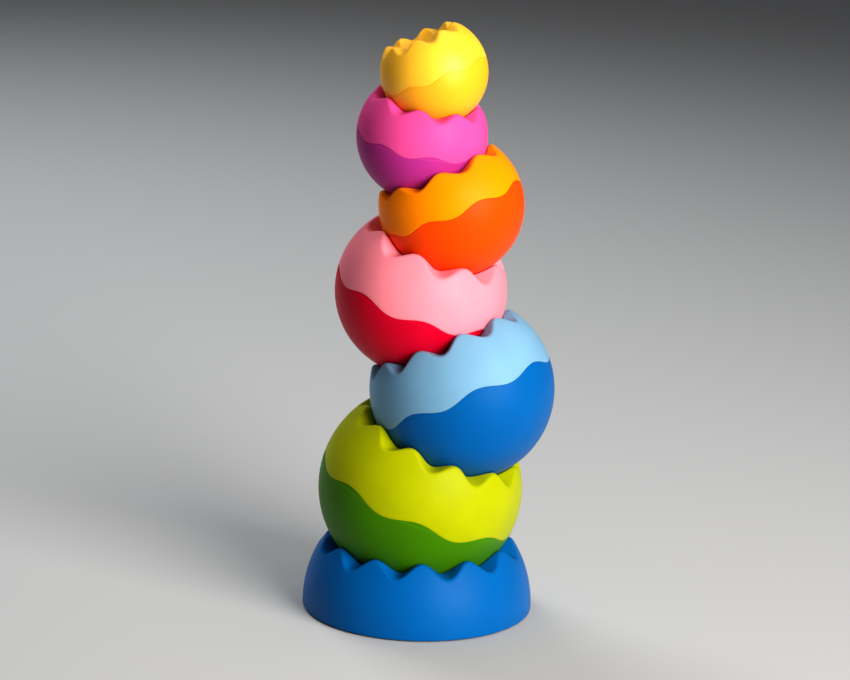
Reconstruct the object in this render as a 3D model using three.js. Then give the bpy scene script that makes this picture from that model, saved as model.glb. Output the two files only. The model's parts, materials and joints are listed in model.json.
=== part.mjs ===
// Stacking cup tower: six weighted balls, each with a jagged round cup on top,
// balanced one in another on a jagged base. Millimetres, +Z up, origin at the
// middle of the base's underside.
import * as THREE from "three";

// ---- Driving dimensions (millimetres and degrees) ----

const WALL = 2.4; // every moulded wall
const CUP_CLEARANCE = 0.6; // between a cup and the ball that sits in it
const FIT_GAP = 0.3; // between two fixed pieces that meet
const RIM_CHAMFER = 0.8; // broken outer edge of a jagged rim
const CHAMFER_SHARE = 0.35; // most of a rim's width that its chamfer may take
const LAP_HEIGHT = 2.5; // how far a lower shell's lip reaches inside the upper shell

const SEAM = { waves: 8, middle: 91.7, swing: 2.4 }; // polar angle of the wavy colour seam
const COLUMNS_PER_TOOTH = 4; // facets round a rim, for each of its teeth
const STEPS = { cup: 6, outerWall: 3, innerWall: 2, cupUnderside: 3, lowerShell: 5, weight: 2 }; // per arc

const BASE = {
  radius: 57.6,
  centreHeight: 2.1,
  hemHeight: 0.6,
  rise: 60.3,
  cupFor: 51,
  rim: { teeth: 12, middle: 57.6, swing: 4, phase: -87.4 },
  colour: 0x0076d0,
};
const DISC_COLUMNS = 36; // facets round the base's plate and pad
const PLATE = { radius: 54, bottom: 0.6, recess: 1.8, top: 4 };
const FOOT_PAD = { radius: 50, thickness: 1.5, colour: 0x1d2a3a };

// Each ball: its radius, how far its cup axis leans from the vertical and towards
// which heading, and the rise along that axis to the centre of what its cup holds.
const BALLS = [
  {
    name: "green",
    radius: 51,
    lean: 20.4,
    heading: -13,
    rise: 56.2,
    cupFor: 45.9,
    rim: { teeth: 11, middle: 56.9, swing: 3.9, phase: -78.9 },
    seamPhase: -21.4,
    light: 0xd2de01,
    dark: 0x4e9204,
  },
  {
    name: "blue",
    radius: 45.9,
    lean: 26.6,
    heading: 157.7,
    rise: 53,
    cupFor: 42.6,
    rim: { teeth: 10, middle: 57.6, swing: 4.4, phase: -107.9 },
    seamPhase: -11.1,
    light: 0xa1d2ed,
    dark: 0x0f83dc,
  },
  {
    name: "pink",
    radius: 42.6,
    lean: 18.3,
    heading: -22.6,
    rise: 47.2,
    cupFor: 35.8,
    rim: { teeth: 8, middle: 54.2, swing: 4.9, phase: -63 },
    seamPhase: -17.9,
    light: 0xfeb7c2,
    dark: 0xd6011b,
  },
  {
    name: "orange",
    radius: 35.8,
    lean: 25.3,
    heading: 168.3,
    rise: 36.9,
    cupFor: 32.2,
    rim: { teeth: 8, middle: 60.4, swing: 4, phase: -86.8 },
    seamPhase: 2,
    light: 0xfeab01,
    dark: 0xfe5317,
  },
  {
    name: "purple",
    radius: 32.2,
    lean: 11,
    heading: -39.1,
    rise: 33.1,
    cupFor: 26.3,
    rim: { teeth: 8, middle: 55.4, swing: 4.2, phase: -99.9 },
    seamPhase: -12.3,
    light: 0xfd7ec1,
    dark: 0xc92a96,
  },
  {
    name: "yellow",
    radius: 26.3,
    lean: 23.3,
    heading: 174.4,
    rise: 32.4,
    cupFor: 20.4,
    rim: { teeth: 8, middle: 47.5, swing: 5, phase: -96.7 },
    seamPhase: -7.4,
    light: 0xfde52e,
    dark: 0xfdc800,
  },
];
const FIRST_BALL_HEIGHT = BASE.centreHeight + BASE.rise;

// Every ball's weight fills the bottom of its lower shell to this share of the
// shell's inner radius, and a shallow tray holds it down.
const WEIGHT = { depthShare: 0.18, clearance: 1, columns: 20, colour: 0x8a8d90 };
const TRAY = { floor: 1.8, rimHeight: 4, rimWall: 1.8, clearance: 1.2, colour: 0xd9d9d4 };

// ---- Angles and profiles ----

const radians = THREE.MathUtils.degToRad;
const HALF_TURN = Math.PI;
const TINY_ANGLE = 1e-9;

// Polar angle of a rim's edge: smallest on a crest, largest in a notch.
function rimAngle(rim, azimuth) {
  const turn = rim.teeth * (azimuth - radians(rim.phase));
  return radians(rim.middle) - radians(rim.swing) * Math.cos(turn);
}

// Polar angle of the seam between a ball's two shells.
function seamAngle(ball, azimuth) {
  const turn = SEAM.waves * (azimuth - radians(ball.seamPhase));
  return radians(SEAM.middle) + radians(SEAM.swing) * Math.cos(turn);
}

// A point of a profile, given by radius and polar angle about a centre on the axis.
function polar(radius, angle, centre = 0) {
  const onAxis = HALF_TURN - angle < TINY_ANGLE;
  return new THREE.Vector2(onAxis ? 0 : radius * Math.sin(angle), centre + radius * Math.cos(angle));
}

// Points along an arc about a centre on the axis, both ends included.
function arc(radius, from, to, steps, centre = 0) {
  const points = [];
  for (let step = 0; step <= steps; step += 1) {
    points.push(polar(radius, from + ((to - from) * step) / steps, centre));
  }
  return points;
}

// Revolves a profile that may change with azimuth. LatheGeometry gives the mesh,
// and each of its columns then takes the profile of its own azimuth, counted from
// start. Profiles run with the material on their right, and the lathe wants it on
// the left.
function revolve(profileAt, columns, start = 0) {
  const geometry = new THREE.LatheGeometry(profileAt(start), columns);
  const position = geometry.attributes.position;
  let vertex = 0;
  for (let column = 0; column <= columns; column += 1) {
    const azimuth = start + (2 * Math.PI * (column % columns)) / columns;
    for (const point of profileAt(azimuth).toReversed()) {
      position.setXYZ(vertex, point.x * Math.cos(azimuth), point.x * Math.sin(azimuth), point.y);
      vertex += 1;
    }
  }
  geometry.computeVertexNormals();
  return geometry;
}

// Revolves with a column on every crest and in every notch of a rim.
function revolveFromCrest(profileAt, rim) {
  return revolve(profileAt, rim.teeth * COLUMNS_PER_TOOTH, radians(rim.phase));
}

// Profile of a jagged double-walled cup: up the inside of the cup from its middle,
// over the rim, down the outer wall, round the hem, up the inner wall, along a
// ceiling just under the notches, and back down the underside of the cup.
function cupProfile(body, azimuth, hem) {
  const { radius, rise, rim } = body;
  const cupRadius = body.cupFor + CUP_CLEARANCE;
  const edge = rimAngle(rim, azimuth);
  const edgeHeight = radius * Math.cos(edge);
  const cupEdge = Math.acos((edgeHeight - rise) / cupRadius);
  const rimWidth = radius * Math.sin(edge) - cupRadius * Math.sin(cupEdge);
  const chamfer = Math.min(RIM_CHAMFER, rimWidth * CHAMFER_SHARE);

  const ceiling = radius * Math.cos(radians(rim.middle + rim.swing)) - WALL;
  const wallTop = Math.acos(ceiling / (radius - WALL));
  const undersideTop = Math.acos((ceiling - rise) / (cupRadius + WALL));

  return [
    ...arc(cupRadius, HALF_TURN, cupEdge, STEPS.cup, rise),
    new THREE.Vector2(radius * Math.sin(edge) - chamfer, edgeHeight),
    ...arc(radius, edge + chamfer / radius, hem.outerAngle, STEPS.outerWall),
    ...hem.points,
    ...arc(radius - WALL, hem.innerAngle, wallTop, STEPS.innerWall),
    ...arc(cupRadius + WALL, undersideTop, HALF_TURN, STEPS.cupUnderside, rise),
  ];
}

// ---- Geometry of each kind of piece ----

function upperShellGeometry(ball) {
  const skirt = ball.radius - WALL / 2;
  const lap = LAP_HEIGHT / ball.radius;
  const profileAt = (azimuth) => {
    const seam = seamAngle(ball, azimuth);
    const hem = {
      outerAngle: seam,
      points: [polar(skirt, seam), polar(skirt, seam - lap)],
      innerAngle: seam - lap,
    };
    return cupProfile(ball, azimuth, hem);
  };
  return revolveFromCrest(profileAt, ball.rim);
}

function lowerShellGeometry(ball) {
  const lip = ball.radius - WALL / 2 - FIT_GAP;
  const inner = ball.radius - WALL;
  const gap = FIT_GAP / ball.radius;
  const lap = LAP_HEIGHT / ball.radius;
  const profileAt = (azimuth) => {
    const seam = seamAngle(ball, azimuth) + gap;
    return [
      ...arc(inner, HALF_TURN, seam - lap, STEPS.lowerShell),
      polar(lip, seam - lap),
      polar(lip, seam),
      ...arc(ball.radius, seam, HALF_TURN, STEPS.lowerShell),
    ];
  };
  return revolveFromCrest(profileAt, ball.rim);
}

function weightHeights(ball) {
  const inner = ball.radius - WALL;
  const top = -inner * (1 - WEIGHT.depthShare);
  return { inner, top };
}

function weightGeometry(ball) {
  const { inner, top } = weightHeights(ball);
  const radius = inner - WEIGHT.clearance;
  const edge = Math.acos(top / radius);
  const profile = [new THREE.Vector2(0, top), ...arc(radius, edge, HALF_TURN, STEPS.weight)];
  return revolve(() => profile, WEIGHT.columns);
}

function trayGeometry(ball) {
  const { inner, top } = weightHeights(ball);
  const bottom = top + FIT_GAP;
  const radius = Math.sqrt(inner ** 2 - bottom ** 2) - TRAY.clearance;
  const profile = [
    new THREE.Vector2(0, bottom + TRAY.floor),
    new THREE.Vector2(radius - TRAY.rimWall, bottom + TRAY.floor),
    new THREE.Vector2(radius - TRAY.rimWall, bottom + TRAY.rimHeight),
    new THREE.Vector2(radius, bottom + TRAY.rimHeight),
    new THREE.Vector2(radius, bottom),
    new THREE.Vector2(0, bottom),
  ];
  return revolve(() => profile, WEIGHT.columns);
}

function baseShellGeometry() {
  const hemLocal = BASE.hemHeight - BASE.centreHeight;
  const hem = {
    outerAngle: Math.acos(hemLocal / BASE.radius),
    points: [],
    innerAngle: Math.acos(hemLocal / (BASE.radius - WALL)),
  };
  return revolveFromCrest((azimuth) => cupProfile(BASE, azimuth, hem), BASE.rim);
}

function basePlateGeometry() {
  const recessRadius = FOOT_PAD.radius + FIT_GAP;
  const profile = [
    new THREE.Vector2(0, PLATE.top),
    new THREE.Vector2(PLATE.radius, PLATE.top),
    new THREE.Vector2(PLATE.radius, PLATE.bottom),
    new THREE.Vector2(recessRadius, PLATE.bottom),
    new THREE.Vector2(recessRadius, PLATE.recess),
    new THREE.Vector2(0, PLATE.recess),
  ];
  return revolve(() => profile, DISC_COLUMNS);
}

function footPadGeometry() {
  const profile = [
    new THREE.Vector2(0, FOOT_PAD.thickness),
    new THREE.Vector2(FOOT_PAD.radius, FOOT_PAD.thickness),
    new THREE.Vector2(FOOT_PAD.radius, 0),
    new THREE.Vector2(0, 0),
  ];
  return revolve(() => profile, DISC_COLUMNS);
}

// ---- Materials and assembly ----

function moulded(colour) {
  return new THREE.MeshStandardMaterial({ color: colour, roughness: 0.55, metalness: 0 });
}

function castIron() {
  return new THREE.MeshStandardMaterial({ color: WEIGHT.colour, roughness: 0.6, metalness: 1 });
}

function rubber() {
  return new THREE.MeshStandardMaterial({ color: FOOT_PAD.colour, roughness: 0.9, metalness: 0 });
}

function piece(name, geometry, material) {
  const mesh = new THREE.Mesh(geometry, material);
  mesh.name = name;
  return mesh;
}

// Direction of a ball's cup axis.
function cupAxis(ball) {
  const lean = radians(ball.lean);
  const heading = radians(ball.heading);
  return new THREE.Vector3(
    Math.sin(lean) * Math.cos(heading),
    Math.sin(lean) * Math.sin(heading),
    Math.cos(lean),
  );
}

function buildBase() {
  const group = new THREE.Group();
  const shell = piece("base_shell", baseShellGeometry(), moulded(BASE.colour));
  shell.position.z = BASE.centreHeight;
  group.add(shell);
  group.add(piece("base_plate", basePlateGeometry(), moulded(BASE.colour)));
  group.add(piece("foot_pad", footPadGeometry(), rubber()));
  return group;
}

function buildBall(ball) {
  const group = new THREE.Group();
  group.add(piece(`${ball.name}_upper_shell`, upperShellGeometry(ball), moulded(ball.light)));
  group.add(piece(`${ball.name}_lower_shell`, lowerShellGeometry(ball), moulded(ball.dark)));
  group.add(piece(`${ball.name}_weight`, weightGeometry(ball), castIron()));
  group.add(piece(`${ball.name}_weight_tray`, trayGeometry(ball), moulded(TRAY.colour)));
  group.quaternion.setFromUnitVectors(new THREE.Vector3(0, 0, 1), cupAxis(ball));
  return group;
}

const tower = new THREE.Group();
tower.add(buildBase());
const centre = new THREE.Vector3(0, 0, FIRST_BALL_HEIGHT);
for (const ball of BALLS) {
  const group = buildBall(ball);
  group.position.copy(centre);
  tower.add(group);
  centre.addScaledVector(cupAxis(ball), ball.rise);
}

export default tower;
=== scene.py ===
"""Looks of the stacking cup tower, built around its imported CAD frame. Metres, +Z up."""
import json
import math

import bpy
import numpy as np
from mathutils import Matrix, Vector


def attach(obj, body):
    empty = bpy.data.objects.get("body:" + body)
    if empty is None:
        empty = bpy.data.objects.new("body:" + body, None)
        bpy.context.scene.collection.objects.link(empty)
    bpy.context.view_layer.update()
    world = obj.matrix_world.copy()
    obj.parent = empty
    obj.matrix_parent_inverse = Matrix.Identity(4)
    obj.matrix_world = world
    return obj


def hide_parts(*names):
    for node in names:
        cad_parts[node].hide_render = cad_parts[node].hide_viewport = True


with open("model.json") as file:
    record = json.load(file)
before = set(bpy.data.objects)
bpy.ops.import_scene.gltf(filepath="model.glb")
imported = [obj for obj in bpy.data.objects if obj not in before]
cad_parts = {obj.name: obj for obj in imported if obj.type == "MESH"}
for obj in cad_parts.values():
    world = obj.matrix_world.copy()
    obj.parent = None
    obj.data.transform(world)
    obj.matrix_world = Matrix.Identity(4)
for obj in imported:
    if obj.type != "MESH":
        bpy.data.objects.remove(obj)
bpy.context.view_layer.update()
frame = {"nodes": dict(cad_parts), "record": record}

MM = 0.001

# ---- Shapes, in millimetres and degrees; centres, axes and radii come from the frame ----

WALL = 2.4
SEAT_GAP = 0.35  # between a cup and the ball that sits in it
SEAM_GAP = 0.05
LAP_HEIGHT = 2.5
LIP_GAP = 0.3
RIM_ROUND = 1.5  # outer edge of a rim, at its thickest
CUP_ROUND = 0.8  # inner edge of a rim
ROUND_LIMIT = 0.46  # most of a rim's width that one rounded edge may take
SEAM_ROUND = 0.18
HEM_ROUND = 0.9
WEIGHT_ROUND = 0.8
TRAY_ROUND = 0.4
PLATE_ROUND = 0.3
PAD_ROUND = 0.2
TONGUE_DEPTH = 0.2  # how far a dark wave sinks below the ball's surface
TONGUE_STEP = 0.5  # width of the step at the foot of a dark wave
TONGUE_START = 0.2  # degrees above the seam's middle at which that step begins
WAVE_MARGIN = 1.0  # degrees below the lowest wave at which the plain surface begins

# Columns are counted round the axis and steps along an arc.
COLUMNS_PER_TOOTH = 22
COLUMNS_PLAIN = 128
STEPS = {
    "cup": 20,
    "outer_wall": 18,
    "inner_wall": 6,
    "cup_underside": 10,
    "lower_inside": 16,
    "lower_outside": 26,
    "wave_band": 12,
    "weight": 14,
    "rim_edge": 6,
    "hem": 5,
    "weight_edge": 4,
    "small_edge": 3,
}
SHARP_ANGLE = 38

SEAM = {"waves": 8, "middle": 91.7, "swing": 2.4}
WEIGHT_SHARE = 0.18
WEIGHT_CLEARANCE = 0.9
TRAY = {"floor": 1.8, "rim": 4.0, "wall": 1.8, "clearance": 1.2, "gap": 0.3}
TOP_CUP = {"rise": 32.4, "cup_for": 20.4}
BASE = {"centre": 2.1, "radius": 57.6, "hem": 0.6}
PLATE = {"radius": 54.0, "bottom": 0.6, "recess": 1.8, "top": 4.0}
PAD = {"radius": 50.0, "thickness": 1.5}
GROOVES = {"radii": (46.0, 42.0, 38.0), "depth": 0.5, "half_mouth": 0.7, "half_floor": 0.4}

RIMS = {
    "base": {"teeth": 12, "middle": 57.6, "swing": 4.0, "phase": -87.4},
    "green": {"teeth": 11, "middle": 56.9, "swing": 3.9, "phase": -78.9},
    "blue": {"teeth": 10, "middle": 57.6, "swing": 4.4, "phase": -107.9},
    "pink": {"teeth": 8, "middle": 54.2, "swing": 4.9, "phase": -63.0},
    "orange": {"teeth": 8, "middle": 60.4, "swing": 4.0, "phase": -86.8},
    "purple": {"teeth": 8, "middle": 55.4, "swing": 4.2, "phase": -99.9},
    "yellow": {"teeth": 8, "middle": 47.5, "swing": 5.0, "phase": -96.7},
}
SEAM_PHASES = {
    "green": -21.4,
    "blue": -11.1,
    "pink": -17.9,
    "orange": 2.0,
    "purple": -12.3,
    "yellow": -7.4,
}
BALL_NAMES = list(SEAM_PHASES)

# Colours as sRGB bytes: (light shell, dark shell).
COLOURS = {
    "green": ((157, 162, 0), (60, 113, 0)),
    "blue": ((110, 151, 178), (0, 86, 148)),
    "pink": ((236, 131, 143), (194, 0, 40)),
    "orange": ((250, 133, 0), (244, 71, 0)),
    "purple": ((220, 74, 141), (167, 45, 126)),
    "yellow": ((252, 188, 48), (251, 168, 28)),
}
BASE_COLOUR = (0, 86, 148)

# Specular level of the shells. The yellow ball's highlight is paler in the photo than the others'.
SHELL_GLOSS = 0.2
BALL_GLOSS = {"yellow": 0.9}

# Lights are aimed at one point; sizes and distances in metres, power in watts, spread in degrees.
# The narrowed spread keeps the floor under a lamp from being overexposed.
LIGHT_AIM = (0.0, 0.0, 0.15)
LIGHT_SPREAD = 90.0
LIGHTS = {
    "key": {
        "direction": (0.66, -0.75, 0.36),
        "distance": 1.4,
        "size": (1.0, 1.0),
        "power": 12.1,
        "colour": (1.0, 0.98, 0.95),
        "reflected": True,
    },
    "back": {
        "direction": (-0.50, 0.80, 0.55),
        "distance": 2.2,
        "size": (1.2, 1.2),
        "power": 9.0,
        "colour": (0.90, 0.95, 1.0),
        "reflected": False,
    },
    "top": {
        "direction": (0.15, 0.10, 1.0),
        "distance": 1.6,
        "size": (1.2, 1.2),
        "power": 1.8,
        "colour": (1.0, 1.0, 1.0),
        "reflected": True,
    },
}
SKY = {"colour": (0.80, 0.84, 0.90, 1.0), "strength": 0.13}
FLOOR = {"size": 14.0, "colour": (0.43, 0.425, 0.42, 1.0)}
CAMERA = {"position": (0.0, -1.6387, 0.5700), "pitch": 14.765, "roll": 1.856, "lens": 144.9}


# ---- Reading the frame ----


def ball_frames():
    """Centre, cup axis and radius of each ball, in millimetres, from its turning joint and its mesh."""
    joints = {joint["name"]: joint for joint in frame["record"]["behaviour"]["joints"]}
    balls = {}
    for name in BALL_NAMES:
        joint = joints[f"{name}_turn"]
        centre = np.array(joint["pos_m"]) / MM
        shell = frame["nodes"][f"{name}_lower_shell"].data
        points = np.array([tuple(vertex.co) for vertex in shell.vertices]) / MM
        radius = float(np.linalg.norm(points - centre, axis=1).max())
        balls[name] = {"centre": centre, "axis": np.array(joint["axis"]), "radius": radius}
    for name, above in zip(BALL_NAMES, BALL_NAMES[1:]):
        balls[name]["rise"] = float(np.linalg.norm(balls[above]["centre"] - balls[name]["centre"]))
        balls[name]["cup_for"] = balls[above]["radius"]
    balls[BALL_NAMES[-1]].update(TOP_CUP)
    return balls


# ---- Camera, lights and floor ----


def add_camera():
    """The photo's camera: it looks along +Y, tilted down by its pitch and turned by its roll."""
    pitch = math.radians(CAMERA["pitch"])
    roll = math.radians(CAMERA["roll"])
    forward = Vector((0.0, math.cos(pitch), -math.sin(pitch)))
    level_right = Vector((1.0, 0.0, 0.0))
    level_up = level_right.cross(forward)
    right = math.cos(roll) * level_right + math.sin(roll) * level_up
    up = math.cos(roll) * level_up - math.sin(roll) * level_right
    data = bpy.data.cameras.new("camera")
    data.sensor_width = 36.0
    data.lens = CAMERA["lens"]
    data.clip_end = 20.0
    camera = bpy.data.objects.new("camera", data)
    rotation = Matrix((right, up, -forward)).transposed()
    camera.matrix_world = Matrix.Translation(CAMERA["position"]) @ rotation.to_4x4()
    bpy.context.collection.objects.link(camera)
    bpy.context.scene.camera = camera


def set_colour_view():
    """The default view washes out colours as strong as the toy's."""
    view = bpy.context.scene.view_settings
    view.view_transform = "Standard"
    view.look = "Medium High Contrast"


def add_area_light(name, lamp):
    data = bpy.data.lights.new(name, "AREA")
    data.shape = "RECTANGLE"
    data.size, data.size_y = lamp["size"]
    data.energy = lamp["power"]
    data.color = lamp["colour"]
    data.spread = math.radians(LIGHT_SPREAD)
    light = bpy.data.objects.new(name, data)
    away = Vector(lamp["direction"]).normalized()
    light.location = Vector(LIGHT_AIM) + away * lamp["distance"]
    light.rotation_euler = away.to_track_quat("Z", "Y").to_euler()
    light.visible_glossy = lamp["reflected"]
    bpy.context.collection.objects.link(light)


def add_lights():
    for name, lamp in LIGHTS.items():
        add_area_light(name, lamp)
    world = bpy.data.worlds.new("studio")
    world.use_nodes = True
    background = world.node_tree.nodes["Background"]
    background.inputs["Color"].default_value = SKY["colour"]
    background.inputs["Strength"].default_value = SKY["strength"]
    bpy.context.scene.world = world


def add_floor():
    bpy.ops.mesh.primitive_plane_add(size=FLOOR["size"])
    floor = bpy.context.object
    floor.name = "floor"
    material = bpy.data.materials.new("floor")
    material.use_nodes = True
    shader = material.node_tree.nodes["Principled BSDF"]
    shader.inputs["Base Color"].default_value = FLOOR["colour"]
    shader.inputs["Roughness"].default_value = 1.0
    shader.inputs["Specular IOR Level"].default_value = 0.0
    floor.data.materials.append(material)


# ---- Materials ----


def linear(srgb):
    """Linear RGBA of an sRGB colour given as bytes."""
    values = [channel / 255 for channel in srgb]
    return [v / 12.92 if v <= 0.04045 else ((v + 0.055) / 1.055) ** 2.4 for v in values] + [1.0]


def scaled(colour, factor):
    return [min(1.0, channel * factor) for channel in colour[:3]] + [1.0]


def new_material(name):
    material = bpy.data.materials.new(name)
    material.use_nodes = True
    return material, material.node_tree, material.node_tree.nodes["Principled BSDF"]


def noise(tree, coordinates, scale, detail=3.0, roughness=0.5):
    """A noise texture; scale is in features per metre."""
    node = tree.nodes.new("ShaderNodeTexNoise")
    node.inputs["Scale"].default_value = scale
    node.inputs["Detail"].default_value = detail
    node.inputs["Roughness"].default_value = roughness
    tree.links.new(coordinates, node.inputs["Vector"])
    return node.outputs["Fac"]


def ramp(tree, value, stops):
    """A colour ramp through (position, colour) stops."""
    node = tree.nodes.new("ShaderNodeValToRGB")
    elements = node.color_ramp.elements
    for element, (position, colour) in zip(elements, stops):
        element.position = position
        element.color = colour
    for position, colour in stops[2:]:
        elements.new(position).color = colour
    tree.links.new(value, node.inputs["Fac"])
    return node.outputs["Color"]


def spread(tree, value, low, high):
    """Maps a 0 to 1 value to the range low to high."""
    node = tree.nodes.new("ShaderNodeMapRange")
    node.inputs["To Min"].default_value = low
    node.inputs["To Max"].default_value = high
    tree.links.new(value, node.inputs["Value"])
    return node.outputs["Result"]


def bump(tree, height, distance, strength, below=None):
    node = tree.nodes.new("ShaderNodeBump")
    node.inputs["Distance"].default_value = distance
    node.inputs["Strength"].default_value = strength
    tree.links.new(height, node.inputs["Height"])
    if below is not None:
        tree.links.new(below, node.inputs["Normal"])
    return node.outputs["Normal"]


def soft_touch(name, srgb, gloss=SHELL_GLOSS):
    """Plastic under a soft-touch coat: fine grain, faint mottling and a gloss tinted by its colour."""
    material, tree, shader = new_material(name)
    colour = linear(srgb)
    coordinates = tree.nodes.new("ShaderNodeTexCoord").outputs["Object"]
    mottle = noise(tree, coordinates, 45.0, 4.0)
    stops = [(0.30, scaled(colour, 0.94)), (0.70, scaled(colour, 1.04))]
    tree.links.new(ramp(tree, mottle, stops), shader.inputs["Base Color"])
    smears = noise(tree, coordinates, 110.0, 3.0, 0.6)
    tree.links.new(spread(tree, smears, 0.38, 0.48), shader.inputs["Roughness"])
    grain = noise(tree, coordinates, 2600.0, 2.0)
    swell = noise(tree, coordinates, 60.0, 1.0)
    coarse = bump(tree, swell, 0.0006, 0.10)
    tree.links.new(bump(tree, grain, 0.00005, 0.35, coarse), shader.inputs["Normal"])
    shader.inputs["Specular IOR Level"].default_value = gloss
    shader.inputs["Specular Tint"].default_value = [0.25 + 0.75 * v for v in colour[:3]] + [1.0]
    return material


def cast_iron(name):
    """Grey cast iron with a sandy skin and a few darker patches."""
    material, tree, shader = new_material(name)
    coordinates = tree.nodes.new("ShaderNodeTexCoord").outputs["Object"]
    patches = noise(tree, coordinates, 160.0, 5.0, 0.6)
    stops = [(0.35, (0.10, 0.10, 0.11, 1.0)), (0.68, (0.30, 0.30, 0.31, 1.0))]
    tree.links.new(ramp(tree, patches, stops), shader.inputs["Base Color"])
    tree.links.new(spread(tree, patches, 0.68, 0.42), shader.inputs["Roughness"])
    sand = noise(tree, coordinates, 1500.0, 3.0)
    tree.links.new(bump(tree, sand, 0.00025, 0.6), shader.inputs["Normal"])
    shader.inputs["Metallic"].default_value = 0.85
    return material


def natural_plastic(name):
    """Unpainted inner moulding with a light spark-eroded grain."""
    material, tree, shader = new_material(name)
    coordinates = tree.nodes.new("ShaderNodeTexCoord").outputs["Object"]
    cloud = noise(tree, coordinates, 70.0, 3.0)
    stops = [(0.30, (0.60, 0.59, 0.55, 1.0)), (0.72, (0.70, 0.69, 0.66, 1.0))]
    tree.links.new(ramp(tree, cloud, stops), shader.inputs["Base Color"])
    grain = noise(tree, coordinates, 1800.0, 2.0)
    tree.links.new(spread(tree, grain, 0.48, 0.62), shader.inputs["Roughness"])
    tree.links.new(bump(tree, grain, 0.00008, 0.4), shader.inputs["Normal"])
    return material


def foot_rubber(name):
    """Dark rubber with a fine pitted skin and slightly dusty high spots."""
    material, tree, shader = new_material(name)
    coordinates = tree.nodes.new("ShaderNodeTexCoord").outputs["Object"]
    dust = noise(tree, coordinates, 220.0, 4.0, 0.65)
    stops = [(0.45, (0.012, 0.016, 0.026, 1.0)), (0.80, (0.035, 0.04, 0.05, 1.0))]
    tree.links.new(ramp(tree, dust, stops), shader.inputs["Base Color"])
    tree.links.new(spread(tree, dust, 0.72, 0.92), shader.inputs["Roughness"])
    pits = noise(tree, coordinates, 2200.0, 2.0)
    tree.links.new(bump(tree, pits, 0.00015, 0.5), shader.inputs["Normal"])
    shader.inputs["Specular IOR Level"].default_value = 0.3
    return material


# ---- Profiles: arrays of (radius, height) points with the material on their right ----


def rim_angle(rim, azimuth):
    turn = rim["teeth"] * (azimuth - math.radians(rim["phase"]))
    return math.radians(rim["middle"]) - math.radians(rim["swing"]) * math.cos(turn)


def seam_angle(phase, azimuth):
    turn = SEAM["waves"] * (azimuth - math.radians(phase))
    return math.radians(SEAM["middle"]) + math.radians(SEAM["swing"]) * math.cos(turn)


def polar(radius, angle, centre=0.0):
    return np.array([radius * math.sin(angle), centre + radius * math.cos(angle)])


def arc(radius, start, end, steps, centre=0.0):
    return [polar(radius, angle, centre) for angle in np.linspace(start, end, steps + 1)]


def rounded(before, corner, after, steps=STEPS["rim_edge"]):
    """A smooth turn from one point to another that is pulled towards a corner."""
    points = []
    for t in np.linspace(0.0, 1.0, steps + 1):
        points.append((1 - t) ** 2 * before + 2 * t * (1 - t) * corner + t**2 * after)
    return points


def chamfered(corners, size):
    """An outline from axis to axis, each corner between its ends rounded by size."""
    points = [np.array(corners[0], float)]
    for before, corner, after in zip(corners, corners[1:], corners[2:]):
        before, corner, after = (np.array(p, float) for p in (before, corner, after))
        back = (before - corner) / np.linalg.norm(before - corner)
        on = (after - corner) / np.linalg.norm(after - corner)
        points += rounded(corner + back * size, corner, corner + on * size, STEPS["small_edge"])
    points.append(np.array(corners[-1], float))
    return points


def cup_profile(cup, azimuth, hem):
    """Up the cup, over its jagged rim, down the outer wall, round the hem and back up inside."""
    radius, rise, rim = cup["radius"], cup["rise"], cup["rim"]
    cup_radius = cup["cup_for"] + SEAT_GAP
    edge = rim_angle(rim, azimuth)
    height = radius * math.cos(edge)
    cup_edge = math.acos((height - rise) / cup_radius)
    outer = polar(radius, edge)
    inner = polar(cup_radius, cup_edge, rise)
    width = outer[0] - inner[0]
    outer_round = min(RIM_ROUND, ROUND_LIMIT * width)
    inner_round = min(CUP_ROUND, ROUND_LIMIT * width)
    across = np.array([1.0, 0.0])
    cup_turn = cup_edge + inner_round / cup_radius
    wall_turn = edge + outer_round / radius

    ceiling = radius * math.cos(math.radians(rim["middle"] + rim["swing"])) - WALL
    wall_top = math.acos(ceiling / (radius - WALL))
    underside_top = math.acos((ceiling - rise) / (cup_radius + WALL))
    return [
        *arc(cup_radius, math.pi, cup_turn, STEPS["cup"], rise)[:-1],
        *rounded(polar(cup_radius, cup_turn, rise), inner, inner + across * inner_round),
        *rounded(outer - across * outer_round, outer, polar(radius, wall_turn)),
        *arc(radius, wall_turn, hem["outer"], STEPS["outer_wall"])[1:],
        *hem["points"],
        *arc(radius - WALL, hem["inner"], wall_top, STEPS["inner_wall"]),
        *arc(cup_radius + WALL, underside_top, math.pi, STEPS["cup_underside"], rise),
    ]


def upper_shell_profile(ball, azimuth):
    radius = ball["radius"]
    seam = seam_angle(ball["seam_phase"], azimuth)
    skirt = radius - WALL / 2
    lap = LAP_HEIGHT / radius
    turn = SEAM_ROUND / radius
    inward = polar(radius - SEAM_ROUND, seam)
    edge = rounded(polar(radius, seam - turn), polar(radius, seam), inward, STEPS["small_edge"])
    hem = {
        "outer": seam - turn,
        "points": [*edge[1:], polar(skirt, seam), polar(skirt, seam - lap)],
        "inner": seam - lap,
    }
    return cup_profile(ball, azimuth, hem)


def dark_surface(ball, angle):
    """Point on a lower shell's outside: its waves above the seam's middle sit a hair deeper."""
    step = TONGUE_STEP / ball["radius"]
    line = math.radians(SEAM["middle"] - TONGUE_START)
    sunk = min(1.0, max(0.0, (line + step - angle) / step))
    smooth = sunk * sunk * (3 - 2 * sunk)
    return polar(ball["radius"] - TONGUE_DEPTH * smooth, angle)


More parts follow.
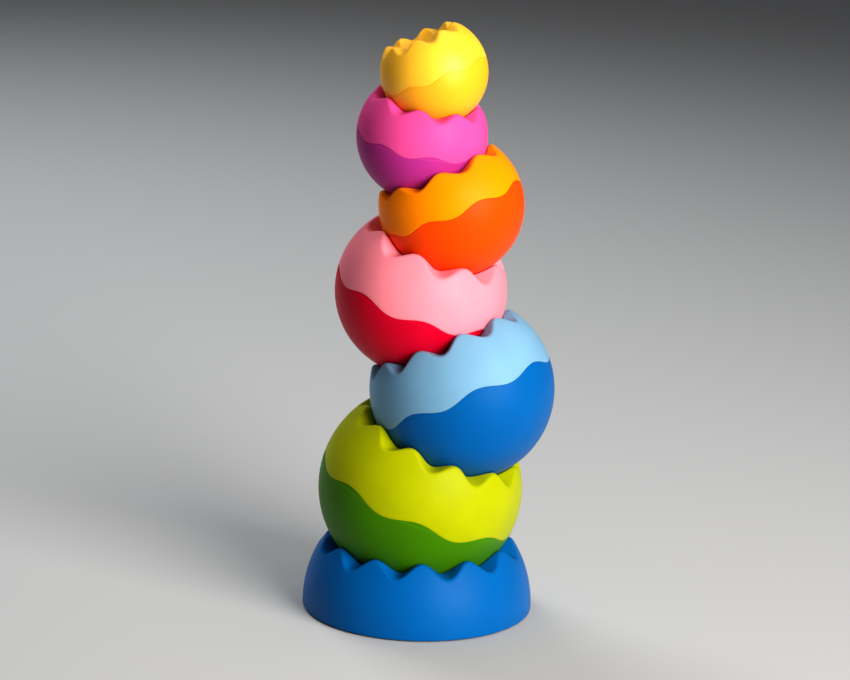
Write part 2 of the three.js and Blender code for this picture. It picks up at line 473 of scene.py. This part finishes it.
def lower_shell_profile(ball, azimuth):
    radius = ball["radius"]
    seam = seam_angle(ball["seam_phase"], azimuth) + SEAM_GAP / radius
    lip = radius - WALL / 2 - LIP_GAP
    lap = (LAP_HEIGHT - LIP_GAP) / radius
    turn = SEAM_ROUND / radius
    waves_end = math.radians(SEAM["middle"] + SEAM["swing"] + WAVE_MARGIN)
    start = dark_surface(ball, seam + turn)
    corner = dark_surface(ball, seam)
    inward = corner * (1 - SEAM_ROUND / np.linalg.norm(corner))
    angles = np.linspace(seam + turn, waves_end, STEPS["wave_band"] + 1)
    return [
        *arc(radius - WALL, math.pi, seam - lap, STEPS["lower_inside"]),
        polar(lip, seam - lap),
        polar(lip, seam),
        *rounded(inward, corner, start, STEPS["small_edge"])[:-1],
        *[dark_surface(ball, angle) for angle in angles],
        *arc(radius, waves_end, math.pi, STEPS["lower_outside"])[1:],
    ]


def weight_top(ball):
    return -(ball["radius"] - WALL) * (1 - WEIGHT_SHARE)


def weight_profile(ball):
    radius = ball["radius"] - WALL - WEIGHT_CLEARANCE
    top = weight_top(ball)
    edge = math.acos(top / radius)
    corner = polar(radius, edge)
    turn = WEIGHT_ROUND / radius
    inward = corner - np.array([WEIGHT_ROUND, 0.0])
    edge_round = rounded(inward, corner, polar(radius, edge + turn), STEPS["weight_edge"])
    side = arc(radius, edge + turn, math.pi, STEPS["weight"])
    return [np.array([0.0, top]), *edge_round, *side[1:]]


def tray_profile(ball):
    inner = ball["radius"] - WALL
    bottom = weight_top(ball) + TRAY["gap"]
    radius = math.sqrt(inner**2 - bottom**2) - TRAY["clearance"]
    floor, rim = bottom + TRAY["floor"], bottom + TRAY["rim"]
    hollow = radius - TRAY["wall"]
    corners = [(0, floor), (hollow, floor), (hollow, rim), (radius, rim), (radius, bottom), (0, bottom)]
    return chamfered(corners, TRAY_ROUND)


def base_profile(base, azimuth):
    radius = base["radius"]
    hem_height = BASE["hem"] - BASE["centre"]
    outer = math.acos(hem_height / radius)
    inner = math.acos(hem_height / (radius - WALL))
    turn = HEM_ROUND / radius
    corner = polar(radius, outer)
    inward = corner - np.array([HEM_ROUND, 0.0])
    hem = {
        "outer": outer - turn,
        "points": rounded(polar(radius, outer - turn), corner, inward, STEPS["hem"])[1:],
        "inner": inner,
    }
    return cup_profile(base, azimuth, hem)


def plate_profile():
    recess_radius = PAD["radius"] + LIP_GAP
    corners = [
        (0, PLATE["top"]),
        (PLATE["radius"], PLATE["top"]),
        (PLATE["radius"], PLATE["bottom"]),
        (recess_radius, PLATE["bottom"]),
        (recess_radius, PLATE["recess"]),
        (0, PLATE["recess"]),
    ]
    return chamfered(corners, PLATE_ROUND)


def pad_profile():
    """A disc with concentric grip grooves in its underside; the middle stays flat."""
    corners = [(0, PAD["thickness"]), (PAD["radius"], PAD["thickness"]), (PAD["radius"], 0)]
    for radius in GROOVES["radii"]:
        corners += [
            (radius + GROOVES["half_mouth"], 0),
            (radius + GROOVES["half_floor"], GROOVES["depth"]),
            (radius - GROOVES["half_floor"], GROOVES["depth"]),
            (radius - GROOVES["half_mouth"], 0),
        ]
    corners.append((0, 0))
    return chamfered(corners, PAD_ROUND)


# ---- Meshes ----


def revolve(name, profile_at, columns, start=0.0, centre=(0.0, 0.0, 0.0), axis=(0.0, 0.0, 1.0)):
    """A closed mesh from one profile for each azimuth; both profile ends lie on the axis."""
    azimuths = start + 2 * math.pi * np.arange(columns) / columns
    profiles = np.array([profile_at(azimuth) for azimuth in azimuths])
    rows = profiles.shape[1] - 2
    rings = profiles[:, 1:-1, :]
    x = rings[:, :, 0] * np.cos(azimuths)[:, None]
    y = rings[:, :, 0] * np.sin(azimuths)[:, None]
    body = np.stack([x, y, rings[:, :, 1]], axis=2).reshape(-1, 3)
    ends = np.array([[0.0, 0.0, profiles[0, 0, 1]], [0.0, 0.0, profiles[0, -1, 1]]])
    turn = Vector((0.0, 0.0, 1.0)).rotation_difference(Vector(axis)).to_matrix()
    points = np.vstack([body, ends]) @ np.array(turn).T + np.array(centre)

    first_end, last_end = len(body), len(body) + 1
    faces = []
    for column in range(columns):
        here = column * rows
        there = ((column + 1) % columns) * rows
        faces.append((first_end, here, there))
        for row in range(rows - 1):
            faces.append((here + row, here + row + 1, there + row + 1, there + row))
        faces.append((last_end, there + rows - 1, here + rows - 1))
    mesh = bpy.data.meshes.new(name)
    mesh.from_pydata((points * MM).tolist(), [], faces)
    mesh.validate()
    mesh.shade_smooth()
    mesh.set_sharp_from_angle(angle=math.radians(SHARP_ANGLE))
    mesh.update()
    piece = bpy.data.objects.new(name, mesh)
    bpy.context.collection.objects.link(piece)
    return piece


def finish_piece(piece, material, body, node):
    piece.data.materials.append(material)
    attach(piece, body)
    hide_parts(node)


def build_ball(name, ball, iron, tray_plastic):
    ball["rim"] = RIMS[name]
    ball["seam_phase"] = SEAM_PHASES[name]
    place = {"centre": ball["centre"], "axis": ball["axis"]}
    columns = RIMS[name]["teeth"] * COLUMNS_PER_TOOTH
    around = {"columns": columns, "start": math.radians(RIMS[name]["phase"])}
    light, dark = COLOURS[name]
    gloss = BALL_GLOSS.get(name, SHELL_GLOSS)
    body, ballast = f"{name}_ball", f"{name}_ballast"

    upper = revolve(f"{name}_upper", lambda a: upper_shell_profile(ball, a), **around, **place)
    plastic = soft_touch(f"{name}_light", light, gloss)
    finish_piece(upper, plastic, body, f"{name}_upper_shell")
    lower = revolve(f"{name}_lower", lambda a: lower_shell_profile(ball, a), **around, **place)
    plastic = soft_touch(f"{name}_dark", dark, gloss)
    finish_piece(lower, plastic, body, f"{name}_lower_shell")
    weight = revolve(f"{name}_slug", lambda a: weight_profile(ball), COLUMNS_PLAIN, **place)
    finish_piece(weight, iron, ballast, f"{name}_weight")
    tray = revolve(f"{name}_tray", lambda a: tray_profile(ball), COLUMNS_PLAIN, **place)
    finish_piece(tray, tray_plastic, ballast, f"{name}_weight_tray")


def build_base(first_ball):
    base = {
        "radius": BASE["radius"],
        "rise": float(first_ball["centre"][2]) - BASE["centre"],
        "cup_for": first_ball["radius"],
        "rim": RIMS["base"],
    }
    plastic = soft_touch("base_plastic", BASE_COLOUR)
    columns = RIMS["base"]["teeth"] * COLUMNS_PER_TOOTH
    start = math.radians(RIMS["base"]["phase"])
    centre = (0.0, 0.0, BASE["centre"])
    shell = revolve("base_dome", lambda a: base_profile(base, a), columns, start, centre)
    finish_piece(shell, plastic, "base", "base_shell")
    plate = revolve("base_closing_plate", lambda a: plate_profile(), COLUMNS_PLAIN)
    finish_piece(plate, plastic, "base", "base_plate")
    pad = revolve("grip_pad", lambda a: pad_profile(), COLUMNS_PLAIN)
    finish_piece(pad, foot_rubber("foot_rubber"), "base", "foot_pad")


add_camera()
set_colour_view()
add_lights()
add_floor()
BALLS = ball_frames()
IRON = cast_iron("weight_iron")
TRAY_PLASTIC = natural_plastic("tray_plastic")
build_base(BALLS[BALL_NAMES[0]])
for ball_name in BALL_NAMES:
    build_ball(ball_name, BALLS[ball_name], IRON, TRAY_PLASTIC)
